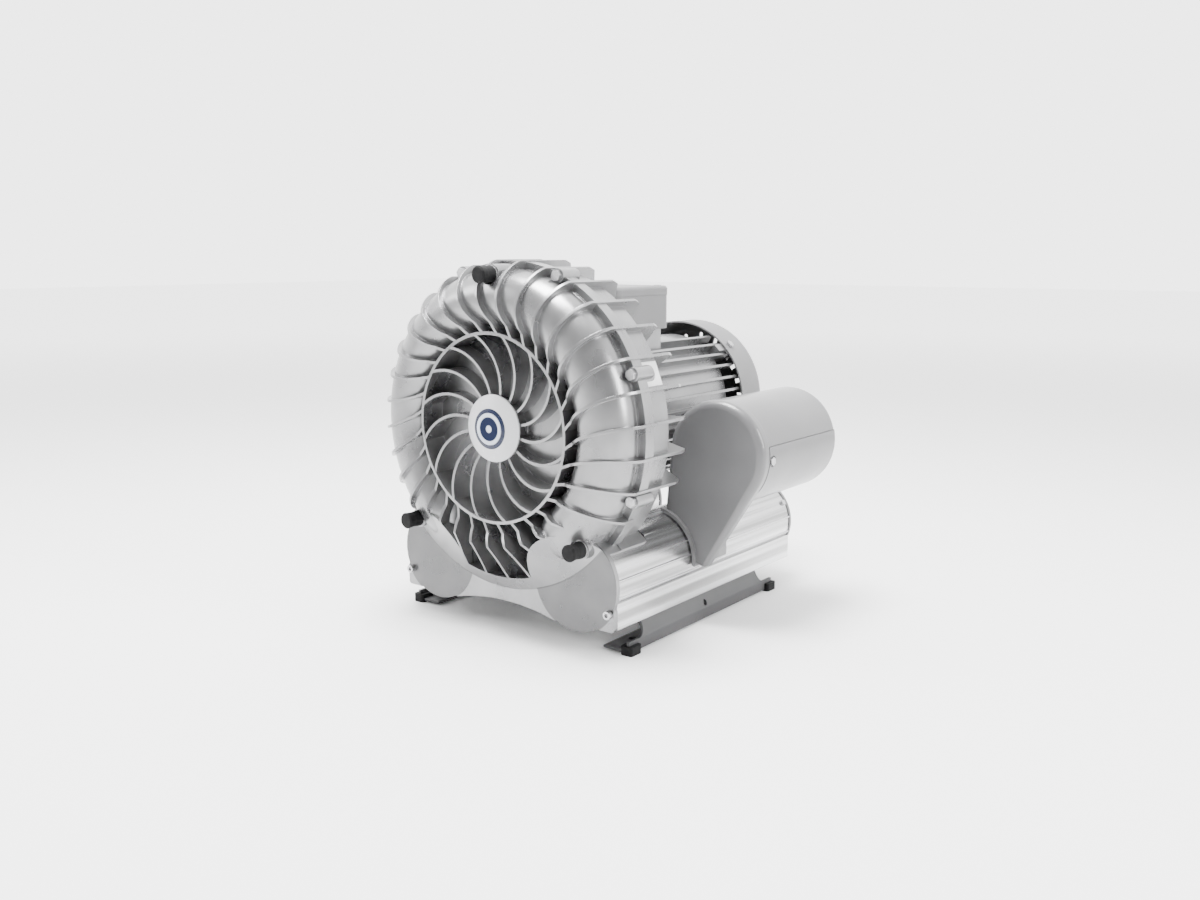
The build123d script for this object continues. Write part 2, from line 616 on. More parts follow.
def ear_bolts():
    """Socket screws from the lobes into the ends of the foot rails."""
    screw = socket_screw(EAR_BOLT_RADIUS, EAR_BOLT_LENGTH)
    return [facing_front(screw, x, ahead(LOBE_AHEAD), z) for x, z in ear_bolt_places()]


def buffer_places():
    places = [(0.0, SHAFT_HEIGHT + TOP_BUFFER_ABOVE_SHAFT)]
    places += [(side * (TUBE_X + LOW_BUFFER_PAST_TUBE), TUBE_Z + LOW_BUFFER_ABOVE_TUBE) for side in SIDES]
    return places


def dome_drop(radius):
    """How far the cap's dome has fallen back from its crown at a radius."""
    return (radius / HUB_CAP_RADIUS) ** 2 * (HUB_CAP_DOME - HUB_CAP_RIM)


def hub_cap():
    """Domed cap on the hub boss, with a flat recess for the badge."""
    spigot = HUB_BOSS_RADIUS - HUB_CAP_LIP
    rim_rear = HUB_BOSS_AHEAD + HUB_CAP_GAP
    edge = (HUB_CAP_RADIUS, ahead(rim_rear + HUB_CAP_RIM))
    half = HUB_CAP_RADIUS / 2
    edges = Curve() + [
        Line((0, ahead(HUB_BOSS_AHEAD)), (spigot, ahead(HUB_BOSS_AHEAD))),
        Line((spigot, ahead(HUB_BOSS_AHEAD)), (spigot, ahead(rim_rear))),
        Line((spigot, ahead(rim_rear)), (HUB_CAP_RADIUS, ahead(rim_rear))),
        Line((HUB_CAP_RADIUS, ahead(rim_rear)), edge),
        ThreePointArc(edge, (half, ahead(HUB_CAP_CROWN - dome_drop(half))), (0, ahead(HUB_CAP_CROWN))),
        Line((0, ahead(HUB_CAP_CROWN)), (0, ahead(HUB_BOSS_AHEAD))),
    ]
    recess = rod(BADGE_RADIUS + FIT_CLEARANCE, ahead(HUB_CAP_CROWN + 1), ahead(badge_seat()))
    return turned(edges) - recess


def badge_seat():
    """How far ahead the badge's recess lies."""
    return HUB_CAP_CROWN - dome_drop(BADGE_RADIUS) - BADGE_RECESS


def cap_badge():
    return rod(BADGE_RADIUS, ahead(badge_seat() + BADGE_THICKNESS), ahead(badge_seat()))


def front_buffers():
    front = ahead(BUFFER_SEAT_AHEAD + BUFFER_LENGTH)
    rear = ahead(BUFFER_SEAT_AHEAD + BUFFER_WASHER)
    neck = front + BUFFER_LENGTH * 0.45
    round_off = 1.5
    return [
        turned_polygon([
            (0, front),
            (BUFFER_RADIUS - round_off, front),
            (BUFFER_RADIUS, front + round_off),
            (BUFFER_RADIUS - 0.8, neck),
            (BUFFER_RADIUS, rear - round_off),
            (BUFFER_RADIUS, rear),
            (0, rear),
        ], x, z)
        for x, z in buffer_places()
    ]


def buffer_studs():
    """Steel washer and threaded stud behind each rubber buffer."""
    studs = []
    for x, z in buffer_places():
        washer = rod(BUFFER_RADIUS, ahead(BUFFER_SEAT_AHEAD + BUFFER_WASHER), ahead(BUFFER_SEAT_AHEAD), x, z)
        stud = rod(STUD_RADIUS - RUNNING_CLEARANCE, ahead(BUFFER_SEAT_AHEAD),
                   ahead(BUFFER_SEAT_AHEAD - STUD_DEPTH), x, z)
        studs.append(washer + stud)
    return studs


def cover_bolts():
    """Hexagon screws from the front through the cover flange into the housing."""
    screw = hexagon_screw(COVER_BOLT_RADIUS - RUNNING_CLEARANCE, 4.0,
                          PARTING_Y - COVER_BOSS_Y + COVER_BOLT_GRIP)
    return at_cover_bolts(facing_front(screw, COVER_BOLT_CIRCLE_RADIUS, COVER_BOSS_Y, 0))


# Blower housing behind the parting plane ----------------------------------------------------
def rear_ribs():
    """Ribs that carry the fins on over the band and in to the motor spigot."""
    root = MOTOR_SPIGOT_RADIUS - 2.0
    profile = Polyline(
        (root, PARTING_Y + DRUM_LENGTH - 2.0),
        (root, SPIGOT_REAR_Y),
        (MOTOR_SPIGOT_RADIUS + 3, SPIGOT_REAR_Y),
        (FIN_TIP_RADIUS - 3, PARTING_Y + REAR_RIB_KNEE_BEHIND),
        (FIN_TIP_RADIUS, PARTING_Y + REAR_RIB_KNEE_BEHIND - 8),
        (FIN_TIP_RADIUS, PARTING_Y),
        (CHAMBER_RADIUS + 1.0, PARTING_Y),
        (CHAMBER_RADIUS + 1.0, PARTING_Y + DRUM_LENGTH - 6.0),
        (CHANNEL_CENTRE_RADIUS, PARTING_Y + DRUM_LENGTH - 2.0),
        close=True,
    )
    plate = extrude(make_face(Plane.XY * profile), amount=REAR_RIB_THICKNESS / 2, both=True)
    pitch = 360.0 / OUTER_FIN_COUNT
    ribs = []
    for index in range(OUTER_FIN_COUNT):
        angle = OUTER_FIN_START + OUTER_FIN_SWEEP + pitch * index
        if abs(from_bottom(angle)) > RIBS_CLEAR_OF_TUBES:
            ribs.append(turn_to(plate, angle))
    return ribs


def blower_housing():
    wall = CASTING_WALL
    band = DRUM_RADIUS + 2.0
    recess_y = WEB_SLOT_REAR_Y + 2 * wall
    drum = turned_polygon([
        (0, PARTING_Y),
        (FLANGE_RADIUS, PARTING_Y),
        (FLANGE_RADIUS, PARTING_Y + FLANGE_THICKNESS),
        (band, PARTING_Y + FLANGE_THICKNESS + 2),
        (band, DRUM_REAR_Y - 12),
        (band - 8, DRUM_REAR_Y - 3),
        (band - 16, DRUM_REAR_Y),
        (MOTOR_SPIGOT_RADIUS, DRUM_REAR_Y),
        (MOTOR_SPIGOT_RADIUS, SPIGOT_REAR_Y),
        (MOTOR_SPIGOT_RADIUS - MOTOR_SPIGOT_WALL, SPIGOT_REAR_Y),
        (MOTOR_SPIGOT_RADIUS - MOTOR_SPIGOT_WALL, recess_y),
        (BEARING_RADIUS + 2 * wall, recess_y),
        (BEARING_RADIUS + 2 * wall, FRONT_BEARING_Y + BEARING_WIDTH),
        (0, FRONT_BEARING_Y + BEARING_WIDTH),
    ])
    skirts = []
    for side in SIDES:
        ring = tube(SADDLE_BORE + wall, SADDLE_BORE, PARTING_Y, DRUM_REAR_Y - 8, side * TUBE_X, TUBE_Z)
        skirts.append(ring & rod(SADDLE_REACH, PARTING_Y, DRUM_REAR_Y))
    bridge = prism(web_outline(), PARTING_Y, PARTING_Y + FLANGE_THICKNESS)
    bridge -= [rod(SADDLE_BORE, PARTING_Y - 1, DRUM_REAR_Y, side * TUBE_X, TUBE_Z) for side in SIDES]
    bosses = cover_bolt_rod(COVER_BOSS_RADIUS, PARTING_Y, PARTING_Y + COVER_BOLT_GRIP + wall)
    body = drum + rear_ribs() + skirts + bridge + bosses

    cavity = turned_polygon([
        (0, PARTING_Y - 1),
        (0, SEAL_Y),
        (IMPELLER_HUB_RADIUS + 2, SEAL_Y),
        (IMPELLER_HUB_RADIUS + 2, WEB_SLOT_REAR_Y),
        (RING_RADIUS, WEB_SLOT_REAR_Y),
        (RING_RADIUS, RIM_SLOT_REAR_Y),
        (CHAMBER_RADIUS, RIM_SLOT_REAR_Y),
        (CHAMBER_RADIUS, PARTING_Y - 1),
    ])
    cavity += channel_ring(CHANNEL_RADIUS, PARTING_Y + REAR_CHANNEL_BEHIND)
    body -= cavity
    body -= rod(SEAL_RADIUS + PRESS_CLEARANCE, SEAL_Y, SEAL_Y + SEAL_WIDTH)
    body -= rod(SHAFT_SHOULDER_RADIUS - 2, SEAL_Y, FRONT_BEARING_Y)
    body -= rod(BEARING_RADIUS + PRESS_CLEARANCE, FRONT_BEARING_Y, SPIGOT_REAR_Y)
    body -= cover_bolt_rod(COVER_BOLT_RADIUS, PARTING_Y, PARTING_Y + COVER_BOLT_GRIP)
    body -= gasket_ring(GASKET_GROOVE)
    window = Pos(CHAMBER_RADIUS - 8, PARTING_Y + REAR_CHANNEL_BEHIND, 0) * Rot(0, 90, 0) * extrude(
        Circle(PORT_WINDOW_RADIUS), amount=DRUM_RADIUS - CHAMBER_RADIUS + 12)
    to_tube = degrees(atan2(TUBE_X, TUBE_BELOW_SHAFT))
    body -= [turn_to(window, side * to_tube - 90.0) for side in SIDES]
    return body


def gasket_ring(depth):
    """Ring in the joint face, outside the chamber."""
    middle = (CHAMBER_RADIUS + DRUM_RADIUS) / 2
    return tube(middle + GASKET_WIDTH / 2, middle - GASKET_WIDTH / 2, PARTING_Y, PARTING_Y + depth)


def cover_gasket():
    """Flat cord seal in a groove of the joint face."""
    return gasket_ring(GASKET_GROOVE)


# Impeller and shaft -------------------------------------------------------------------------
def impeller():
    """Cast wheel with open blade pockets on both sides of the rim."""
    half_rim = IMPELLER_RIM_WIDTH / 2
    half_web = IMPELLER_WEB_WIDTH / 2
    half_hub = IMPELLER_HUB_LENGTH / 2
    rim_inner = CHANNEL_CENTRE_RADIUS - CHANNEL_RADIUS + 2.0
    pocket_floor = 3.0
    points = [
        (SHAFT_SEAT_RADIUS, half_hub),
        (IMPELLER_HUB_RADIUS, half_hub),
        (IMPELLER_HUB_RADIUS, half_web),
        (rim_inner - 4, half_web),
        (rim_inner - 3, half_rim),
        (rim_inner, half_rim),
        (rim_inner + 10, pocket_floor),
        (IMPELLER_RADIUS - 12, pocket_floor / 2),
        (IMPELLER_RADIUS, pocket_floor / 2),
    ]
    mirrored = [(r, -y) for r, y in reversed(points)]
    wheel = turned_polygon(points + mirrored)
    blade = block(rim_inner + 1, IMPELLER_RADIUS, -half_rim, half_rim,
                  -BLADE_THICKNESS / 2, BLADE_THICKNESS / 2)
    envelope = rod(IMPELLER_RADIUS, -half_rim, half_rim, 0, 0) - rod(rim_inner + 1, -half_rim, half_rim, 0, 0)
    blades = Compound(around(blade, BLADE_COUNT, 0, 0, 0)) & envelope
    wheel = wheel + Pos(0, 0, SHAFT_HEIGHT) * blades
    wheel = Pos(0, IMPELLER_Y, 0) * wheel
    return wheel - key_block(FIT_CLEARANCE / 3)


def key_block(growth):
    """Feather key between shaft and impeller hub, grown by a clearance for its slots."""
    half = KEY_WIDTH / 2 + growth
    reach = IMPELLER_HUB_LENGTH / 2 - 3 + growth
    low = SHAFT_HEIGHT + SHAFT_SEAT_RADIUS - KEY_WIDTH / 2 - growth
    return block(-half, half, IMPELLER_Y - reach, IMPELLER_Y + reach, low, low + KEY_WIDTH + 2 * growth)


def shaft():
    seat_end = IMPELLER_Y + IMPELLER_HUB_LENGTH / 2
    body = turned_polygon([
        (0, SHAFT_FRONT_Y),
        (SHAFT_SEAT_RADIUS - 1, SHAFT_FRONT_Y),
        (SHAFT_SEAT_RADIUS - RUNNING_CLEARANCE, SHAFT_FRONT_Y + 1),
        (SHAFT_SEAT_RADIUS - RUNNING_CLEARANCE, seat_end),
        (SHAFT_RADIUS, seat_end),
        (SHAFT_RADIUS, FRONT_BEARING_Y + BEARING_WIDTH),
        (SHAFT_SHOULDER_RADIUS, FRONT_BEARING_Y + BEARING_WIDTH),
        (SHAFT_SHOULDER_RADIUS, REAR_BEARING_Y),
        (SHAFT_RADIUS, REAR_BEARING_Y),
        (SHAFT_RADIUS, SHAFT_REAR_Y - 1),
        (SHAFT_RADIUS - 1, SHAFT_REAR_Y),
        (0, SHAFT_REAR_Y),
    ])
    return body - key_block(0)


def impeller_nut():
    front = IMPELLER_Y - IMPELLER_HUB_LENGTH / 2 - NUT_WASHER
    nut = prism(RegularPolygon(SHAFT_SEAT_RADIUS * 1.5, 6), front - 8, front)
    return nut - rod(SHAFT_SEAT_RADIUS, front - 9, front + 1)


def impeller_washer():
    rear = IMPELLER_Y - IMPELLER_HUB_LENGTH / 2
    return tube(IMPELLER_HUB_RADIUS - 3, SHAFT_SEAT_RADIUS, rear - NUT_WASHER, rear)


def shaft_seal():
    return tube(SEAL_RADIUS, SHAFT_RADIUS + RUNNING_CLEARANCE, SEAL_Y, SEAL_Y + SEAL_WIDTH)


def bearing_outer(y):
    """Outer race with its two shields."""
    shield = SHAFT_RADIUS + 4.5
    track = BEARING_RADIUS - 4.0
    return turned_polygon([
        (BEARING_RADIUS, y),
        (BEARING_RADIUS, y + BEARING_WIDTH),
        (shield, y + BEARING_WIDTH),
        (shield, y + BEARING_WIDTH - 1),
        (track, y + BEARING_WIDTH - 1),
        (track, y + 1),
        (shield, y + 1),
        (shield, y),
    ])


def bearing_inner(y):
    return tube(SHAFT_RADIUS + 4.0, SHAFT_RADIUS + PRESS_CLEARANCE, y, y + BEARING_WIDTH)


def rotor_core():
    return tube(ROTOR_RADIUS, SHAFT_SHOULDER_RADIUS + PRESS_CLEARANCE, STATOR_Y, STATOR_Y + STATOR_LENGTH)


def cooling_fan():
    """Radial fan: a disc with straight blades, so that it works in both directions."""
    front = COWL_REAR_Y - FAN_SETBACK
    hub = tube(SHAFT_RADIUS + 8, SHAFT_RADIUS + PRESS_CLEARANCE, front, front + 16)
    disc = tube(FAN_RADIUS, SHAFT_RADIUS + 7, front, front + 3)
    blade = block(SHAFT_RADIUS + 6, FAN_RADIUS - 2, front + 1, front + 20, -1.5, 1.5)
    return hub + disc + around(blade, FAN_BLADE_COUNT)


# Motor --------------------------------------------------------------------------------------
def motor_frame():
    """Aluminium frame with axial ribs that run on as fingers under the cowl."""
    shell = rod(FRAME_RADIUS, FRAME_FRONT_Y, FRAME_REAR_Y)
    flange = rod(MOTOR_SPIGOT_RADIUS - 2, FRAME_FRONT_Y, FRAME_FRONT_Y + 8)
    rib = block(FRAME_RADIUS - 1, FRAME_RIB_RADIUS, FRAME_FRONT_Y, FRAME_REAR_Y + RIB_FINGER_LENGTH,
                -FRAME_RIB_THICKNESS / 2, FRAME_RIB_THICKNESS / 2)
    ribs = [
        turn_to(rib, 360.0 * i / FRAME_RIB_COUNT)
        for i in range(FRAME_RIB_COUNT)
        if abs(360.0 * i / FRAME_RIB_COUNT - 90.0) > BOX_SADDLE_ANGLE
    ]
    saddle = block(-BOX_WIDTH / 2 + 8, BOX_WIDTH / 2 - 8, BOX_FRONT_Y + 8, BOX_FRONT_Y + BOX_LENGTH - 8,
                   SHAFT_HEIGHT + FRAME_RADIUS / 2, BOX_BOTTOM_Z)
    bore = rod(FRAME_RADIUS - FRAME_WALL, FRAME_FRONT_Y - 1, FRAME_REAR_Y)
    clear = rod(FRAME_RADIUS + 1.5, FRAME_REAR_Y, FRAME_REAR_Y + RIB_FINGER_LENGTH)
    wire_hole = extrude(Plane(origin=(0, BOX_MIDDLE_Y, SHAFT_HEIGHT)) * Circle(WIRE_HOLE_RADIUS),
                        amount=BOX_BOTTOM_ABOVE_SHAFT)
    return shell + flange + ribs + saddle - bore - clear - wire_hole


def stator_core():
    return tube(FRAME_RADIUS - FRAME_WALL - PRESS_CLEARANCE, ROTOR_RADIUS + AIR_GAP,
                STATOR_Y, STATOR_Y + STATOR_LENGTH)


def stator_windings():
    """Winding heads at both ends of the core."""
    inner = ROTOR_RADIUS + 5
    outer = FRAME_RADIUS - FRAME_WALL - 4
    rear = STATOR_Y + STATOR_LENGTH
    return [
        tube(outer, inner, STATOR_Y - WINDING_OVERHANG, STATOR_Y),
        tube(outer, inner, rear, rear + WINDING_OVERHANG),
    ]


def rear_end_shield():
    """Bearing shield at the fan end, with four lugs for the cowl screws."""
    wall = FRAME_WALL
    hub = BEARING_RADIUS + 2 * CASTING_WALL
    body = turned_polygon([
        (0, REAR_BEARING_Y - wall),
        (hub, REAR_BEARING_Y - wall),
        (hub, FRAME_REAR_Y - wall),
        (FRAME_RADIUS - 2 * wall, FRAME_REAR_Y - wall),
        (FRAME_RADIUS - wall - FIT_CLEARANCE, FRAME_REAR_Y - wall),
        (FRAME_RADIUS - wall - FIT_CLEARANCE, FRAME_REAR_Y),
        (FRAME_RADIUS, FRAME_REAR_Y),
        (FRAME_RADIUS, FRAME_REAR_Y + wall),
        (hub, FRAME_REAR_Y + wall),
        (hub, REAR_BEARING_Y + BEARING_WIDTH + wall),
        (0, REAR_BEARING_Y + BEARING_WIDTH + wall),
    ])
    lug = block(FRAME_RADIUS - 8, COWL_RADIUS - COWL_WALL - FIT_CLEARANCE, FRAME_REAR_Y + wall - 1,
                COWL_SCREW_Y + 5, -COWL_LUG_WIDTH / 2, COWL_LUG_WIDTH / 2)
    screw_hole = Pos(FRAME_RADIUS, COWL_SCREW_Y, 0) * Rot(0, 90, 0) * extrude(
        Circle(COWL_SCREW_RADIUS), amount=20)
    body += around(lug, 4, 45.0)
    body -= around(screw_hole, 4, 45.0)
    body -= rod(BEARING_RADIUS + PRESS_CLEARANCE, REAR_BEARING_Y - 2 * wall, REAR_BEARING_Y + BEARING_WIDTH)
    return body - rod(SHAFT_RADIUS + 1, REAR_BEARING_Y, REAR_BEARING_Y + BEARING_WIDTH + 2 * wall)


def fan_cowl():
    """Deep-drawn cowl with an intake grille of radial slots."""
    edge = 14.0
    outer = rod(COWL_RADIUS, COWL_FRONT_Y, COWL_REAR_Y)
    outer = fillet(outer.edges().group_by(Axis.Y)[-1], edge)
    inner = rod(COWL_RADIUS - COWL_WALL, COWL_FRONT_Y, COWL_REAR_Y - COWL_WALL)
    inner = fillet(inner.edges().group_by(Axis.Y)[-1], edge - COWL_WALL)
    slot_length = COWL_RADIUS - edge - 30.0
    slot = Pos(28.0 + slot_length / 2, COWL_REAR_Y, 0) * Rot(90, 0, 0) * extrude(
        SlotOverall(slot_length, COWL_SLOT_WIDTH), amount=4 * COWL_WALL, both=True)
    screw_hole = Pos(COWL_RADIUS - 10, COWL_SCREW_Y, 0) * Rot(0, 90, 0) * extrude(
        Circle(COWL_SCREW_RADIUS + FIT_CLEARANCE), amount=20)
    return outer - inner - around(slot, COWL_SLOT_COUNT) - around(screw_hole, 4, 45.0)


def cowl_screws():
    screw = hexagon_screw(COWL_SCREW_RADIUS - RUNNING_CLEARANCE, 3.0, 10.0)
    return around(Pos(COWL_RADIUS, COWL_SCREW_Y, 0) * Rot(0, 90, 0) * screw, 4, 45.0)


# Terminal box -------------------------------------------------------------------------------
def box_outline(inset):
    return RectangleRounded(BOX_WIDTH - 2 * inset, BOX_LENGTH - 2 * inset, BOX_CORNER - inset)


def box_plane(above):
    return Plane(origin=(0, BOX_MIDDLE_Y, BOX_BOTTOM_Z + above))


def box_corners():
    half_x = BOX_WIDTH / 2 - BOX_POST_INSET
    half_y = BOX_LENGTH / 2 - BOX_POST_INSET
    return [(i * half_x, j * half_y) for i in SIDES for j in SIDES]


def terminal_box_base():
    body = extrude(box_plane(0) * box_outline(0), amount=BOX_HEIGHT)
    body -= extrude(box_plane(BOX_WALL) * box_outline(BOX_WALL), amount=BOX_HEIGHT)
    for x, y in box_corners():
        body += extrude(box_plane(0) * Pos(x, y) * Circle(5.0), amount=BOX_HEIGHT)
        body -= extrude(box_plane(BOX_HEIGHT - 12) * Pos(x, y) * Circle(LID_SCREW_RADIUS), amount=12)
    body -= extrude(box_plane(-1) * Circle(WIRE_HOLE_RADIUS), amount=BOX_WALL + 2)
    return body - gland_rod(GLAND_RADIUS, 2 * BOX_WALL, -2 * BOX_WALL)


def gland_rod(radius, outside, inside):
    """Bar along X through the left wall of the terminal box."""
    plane = Plane(origin=(-BOX_WIDTH / 2 - outside, BOX_MIDDLE_Y, BOX_BOTTOM_Z + BOX_HEIGHT / 2),
                  z_dir=(1, 0, 0))
    return extrude(plane * Circle(radius), amount=outside - inside)


def terminal_box_lid():
    lid = extrude(box_plane(BOX_HEIGHT) * box_outline(-0.5), amount=BOX_LID)
    lid = fillet(lid.edges().group_by(Axis.Z)[-1], 4.0)
    lid -= extrude(box_plane(BOX_HEIGHT) * box_outline(BOX_WALL + 3), amount=BOX_LID - BOX_WALL)
    for x, y in box_corners():
        lid += extrude(box_plane(BOX_HEIGHT) * Pos(x, y) * Circle(5.5), amount=BOX_LID - BOX_WALL)
        lid -= extrude(box_plane(BOX_HEIGHT) * Pos(x, y) * Circle(LID_SCREW_RADIUS + FIT_CLEARANCE),
                       amount=BOX_LID)
        lid -= extrude(box_plane(BOX_HEIGHT + BOX_LID - 4) * Pos(x, y) * Circle(4.6), amount=5)
    return lid


def lid_screws():
    screw = socket_screw(LID_SCREW_RADIUS - RUNNING_CLEARANCE, BOX_LID - 4 + 10)
    plane = box_plane(BOX_HEIGHT + BOX_LID - 4)
    return [plane.location * Pos(x, y, 0) * screw for x, y in box_corners()]


def terminal_board():
    """Moulded board with its six terminal studs."""
    middle = Pos(0, BOARD_SETBACK)
    plate = extrude(box_plane(BOX_WALL) * middle * Rectangle(BOARD_WIDTH, BOARD_DEPTH),
                    amount=BOARD_THICKNESS)
    stud_plane = box_plane(BOX_WALL + BOARD_THICKNESS)
    for column in (-1, 0, 1):
        for row in SIDES:
            place = middle * Pos(column * STUD_SPACING, row * STUD_SPACING / 2)
            plate += extrude(stud_plane * place * Circle(TERMINAL_STUD_RADIUS), amount=TERMINAL_STUD_LENGTH)
    return plate


def cable_gland():
    """Gland body with its hexagon and cap nut, left empty."""
    inner = gland_rod(GLAND_RADIUS - RUNNING_CLEARANCE, 0, -2 * BOX_WALL)
    seat = (-BOX_WIDTH / 2, BOX_MIDDLE_Y, BOX_BOTTOM_Z + BOX_HEIGHT / 2)
    hexagon_plane = Plane(origin=seat, x_dir=(0, 1, 0), z_dir=(-1, 0, 0))
    hexagon = extrude(hexagon_plane * RegularPolygon(GLAND_RADIUS + 4, 6), amount=6)
    cap = extrude(hexagon_plane * Circle(GLAND_RADIUS + 1.5), amount=18)
    return inner + hexagon + cap - gland_rod(GLAND_RADIUS - 4, 20, -2 * BOX_WALL - 1)


# Silencers ----------------------------------------------------------------------------------
def rail_bar(side, width, low, high):
    """Bar along a foot rail, between two heights above the rail's underside."""
    x = side * RAIL_MIDDLE_X
    return block(x - width / 2, x + width / 2, TUBE_FRONT_Y, TUBE_REAR_Y,
                 FOOT_RAIL_HEIGHT + low, FOOT_RAIL_HEIGHT + high)


def silencer_tube(side):
    """Extruded silencer body with the foot rail on its outer lower corner."""
    x = side * TUBE_X
    outer = rod(TUBE_RADIUS, TUBE_FRONT_Y, TUBE_REAR_Y, x, TUBE_Z)
    for angle in RIDGE_ANGLES:
        dx, dz = polar(TUBE_RADIUS, angle)
        outer += rod(RIDGE_RADIUS, TUBE_FRONT_Y, TUBE_REAR_Y, x + side * dx, TUBE_Z + dz)
    rail = rail_bar(side, RAIL_WIDTH, 0, TUBE_Z - FOOT_RAIL_HEIGHT - TUBE_RADIUS / 3)
    slot = rail_bar(side, T_SLOT_MOUTH, 0, T_SLOT_DEPTH) + rail_bar(side, T_SLOT_HEAD, SHEET, T_SLOT_DEPTH)
    body = outer + rail - rod(TUBE_BORE, TUBE_FRONT_Y, TUBE_REAR_Y, x, TUBE_Z) - slot
    body -= rod(TUBE_COPE_RADIUS, TUBE_FRONT_Y, DRUM_REAR_Y + FIT_CLEARANCE)
    body -= ear_bolt_holes(TUBE_FRONT_Y, TUBE_FRONT_Y + EAR_BOLT_LENGTH, EAR_BOLT_RADIUS)
    if side > 0:
        body -= hood_port()
    body -= end_screw_holes(side)
    return body


def end_screw_holes(side):
    hole = Pos(TUBE_RADIUS - 10, TUBE_REAR_Y - END_SPIGOT / 2, 0) * Rot(0, 90, 0) * extrude(
        Circle(END_SCREW_RADIUS), amount=12)
    return around(hole, 3, END_SCREW_START, side * TUBE_X, TUBE_Z)


def silencer_end_screws():
    screw = hexagon_screw(END_SCREW_RADIUS - RUNNING_CLEARANCE, 2.5, 8.0)
    screws = []
    for side in SIDES:
        place = Pos(TUBE_RADIUS, TUBE_REAR_Y - END_SPIGOT / 2, 0) * Rot(0, 90, 0) * screw
        screws += around(place, 3, END_SCREW_START, side * TUBE_X, TUBE_Z)
    return screws


def hood_port():
    """Opening in the right silencer under the intake hood."""
    port = Pos(TUBE_BORE - LINER_WALL - 2, HOOD_PORT_Y, 0) * Rot(0, 90, 0) * extrude(
        Circle(PORT_WINDOW_RADIUS), amount=TUBE_WALL + LINER_WALL + 6)
    return turn_to(port, HOOD_PORT_ANGLE, TUBE_X, TUBE_Z)


def silencer_liner(side):
    """Perforated absorption lining, shown as a plain sleeve."""
    sleeve = tube(TUBE_BORE - FIT_CLEARANCE, TUBE_BORE - LINER_WALL, LINER_START_Y,
                  TUBE_REAR_Y - END_SPIGOT - 2,
                  side * TUBE_X, TUBE_Z)
    return sleeve - hood_port() if side > 0 else sleeve


def end_plate(side):
    x = side * TUBE_X
    plate = rod(TUBE_RADIUS + 1, TUBE_REAR_Y, TUBE_REAR_Y + END_PLATE, x, TUBE_Z)
    plate = chamfer(plate.edges().group_by(Axis.Y)[-1], 2.0)
    spigot = rod(TUBE_BORE - FIT_CLEARANCE, TUBE_REAR_Y - END_SPIGOT, TUBE_REAR_Y, x, TUBE_Z)
    hole = Pos(TUBE_RADIUS - 12, TUBE_REAR_Y - END_SPIGOT / 2, 0) * Rot(0, 90, 0) * extrude(
        Circle(END_SCREW_RADIUS), amount=12)
    return plate + spigot - around(hole, 3, END_SCREW_START, x, TUBE_Z)


def silencer_end_cap():
    hollow = rod(TUBE_BORE - 2 * CASTING_WALL, TUBE_REAR_Y - END_SPIGOT, TUBE_REAR_Y, TUBE_X, TUBE_Z)
    return end_plate(1) - hollow


def outlet_flange():
    """Threaded outlet port at the fan end of the left silencer."""
    collar = rod(PORT_BORE_RADIUS + 8, TUBE_REAR_Y, TUBE_REAR_Y + PORT_LENGTH, -TUBE_X, TUBE_Z)
    bore = rod(PORT_BORE_RADIUS, TUBE_REAR_Y + PORT_LENGTH - PORT_BORE_LENGTH, TUBE_REAR_Y + PORT_LENGTH,
               -TUBE_X, TUBE_Z)
    throat = rod(PORT_BORE_RADIUS + 3, TUBE_REAR_Y - END_SPIGOT, TUBE_REAR_Y + PORT_LENGTH - PORT_BORE_LENGTH,
                 -TUBE_X, TUBE_Z)
    return end_plate(-1) + collar - bore - throat


# Intake filter canister ---------------------------------------------------------------------
def canister_body(growth, y_start):
    """Round canister form, grown by an amount, with its rear edge rounded."""
    body = rod(FILTER_RADIUS + growth, y_start, FILTER_REAR_Y, FILTER_X, FILTER_Z)
    return fillet(body.edges().group_by(Axis.Y)[-1], FILTER_REAR_ROUND)


def hull_of(circles):
    """Face that a string around all the circles would enclose."""
    return make_hull([edge for circle in circles for edge in circle.edges()])


def hood_outline(inset):
    """Front view of the hood: round over the canister, tapering down the side of the tube."""
    tip_z = HOOD_TIP_RADIUS - HOOD_TIP_BELOW_TUBE - TUBE_BELOW_SHAFT
    side_x = FILTER_X - FILTER_RADIUS + HOOD_SIDE_RADIUS
    side_z = -FILTER_BELOW_SHAFT - HOOD_SIDE_DROP
    foot_z = HOOD_FOOT_ABOVE_TUBE - TUBE_BELOW_SHAFT
    return hull_of([
        Pos(FILTER_X, -FILTER_BELOW_SHAFT) * Circle(FILTER_RADIUS + HOOD_PROUD - inset),
        Pos(TUBE_X + HOOD_TIP_PAST_TUBE, tip_z) * Circle(HOOD_TIP_RADIUS - inset / 2),
        Pos(side_x, side_z) * Circle(HOOD_SIDE_RADIUS - inset / 2),
        Pos(TUBE_X + HOOD_FOOT_PAST_TUBE, foot_z) * Circle(HOOD_SIDE_RADIUS - inset / 2),
    ])


def hood_shell():
    """Hood with its front rim rolled back in a quarter round."""
    sections = []
    for turn in (0, 30, 60, 90):
        back = HOOD_EDGE_ROUND * (1 - cos(radians(turn)))
        inset = HOOD_EDGE_ROUND * (1 - sin(radians(turn)))
        sections.append(front_plane(FILTER_FRONT_Y + back) * hood_outline(inset))
    rear = prism(hood_outline(0), FILTER_FRONT_Y + HOOD_EDGE_ROUND, FILTER_FRONT_Y + HOOD_DEPTH)
    return loft(sections) + rear


